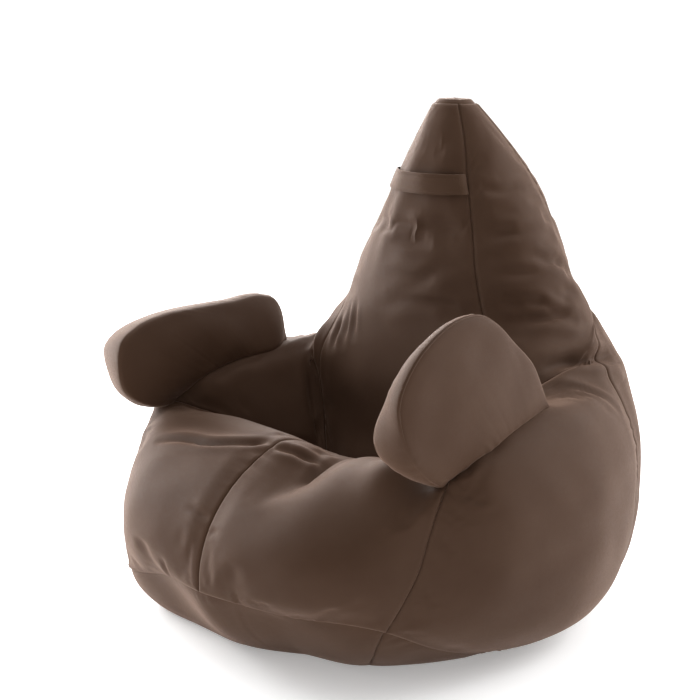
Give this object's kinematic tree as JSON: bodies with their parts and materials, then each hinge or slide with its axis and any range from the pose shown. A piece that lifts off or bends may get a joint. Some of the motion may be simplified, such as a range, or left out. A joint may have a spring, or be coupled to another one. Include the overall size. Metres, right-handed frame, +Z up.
{
  "type": "bean bag chair",
  "caption": "Drop-shaped bead-filled lounge chair with a bucket seat, tall tapering backrest, boxed arm bolsters, a carry strap and a zipped base.",
  "frame": {"origin": "on the floor, under the middle of the chair's bounding box", "axes": "+Z up, the seat faces -Y, +X is the sitter's left arm"},
  "size_m": [1.008, 0.9962, 1.02],
  "materials": {
    "cover_fabric": "smooth coated woven fabric, dark brown, soft sheen",
    "strap_fabric": "the cover's fabric folded and stitched to a flat strap",
    "liner_fabric": "plain light lining cloth",
    "beads": "expanded polystyrene beads",
    "zip_tape": "dark brown woven zip tape",
    "zip_coil": "moulded plastic teeth, dark brown",
    "zip_metal": "dark plated zinc"
  },
  "bodies": {
    "chair": {"front_right_gore": "cover_fabric", "front_left_gore": "cover_fabric", "backrest_panel": "cover_fabric", "side_right_gore": "cover_fabric", "side_left_gore": "cover_fabric", "rear_right_gore": "cover_fabric", "rear_left_gore": "cover_fabric", "top_cap": "cover_fabric", "base_panel_rear": "cover_fabric", "base_panel_front": "cover_fabric", "arm_right_outer_face": "cover_fabric", "arm_right_boxing_strip": "cover_fabric", "arm_right_inner_face": "cover_fabric", "arm_left_outer_face": "cover_fabric", "arm_left_boxing_strip": "cover_fabric", "arm_left_inner_face": "cover_fabric", "arm_right_bead_bag": "liner_fabric", "arm_left_bead_bag": "liner_fabric", "arm_right_bead_fill": "beads", "arm_left_bead_fill": "beads", "liner_bag": "liner_fabric", "liner_closure": "liner_fabric", "bead_fill": "beads", "carry_strap": "strap_fabric", "zip_tape_front": "zip_tape", "zip_tape_rear": "zip_tape", "zip_teeth_front": "zip_coil", "zip_teeth_rear": "zip_coil", "zip_stop_closed_end": "zip_metal", "zip_stop_open_end": "zip_metal"},
    "slider": {"zip_slider": "zip_metal"},
    "pull_tab": {"zip_pull_tab": "zip_metal"}
  },
  "joints": [
    {"name": "zip_slide", "type": "slide", "parent": "chair", "child": "slider", "axis": [-0.8339, 0.5519, 0], "range_m": [0, 0.39]},
    {"name": "pull_tab_hinge", "type": "hinge", "parent": "slider", "child": "pull_tab", "pos_m": [0.16262, -0.23184, 0.0047], "axis": [-0.5519, -0.8339, 0], "range_deg": [0, 180]}
  ]
}
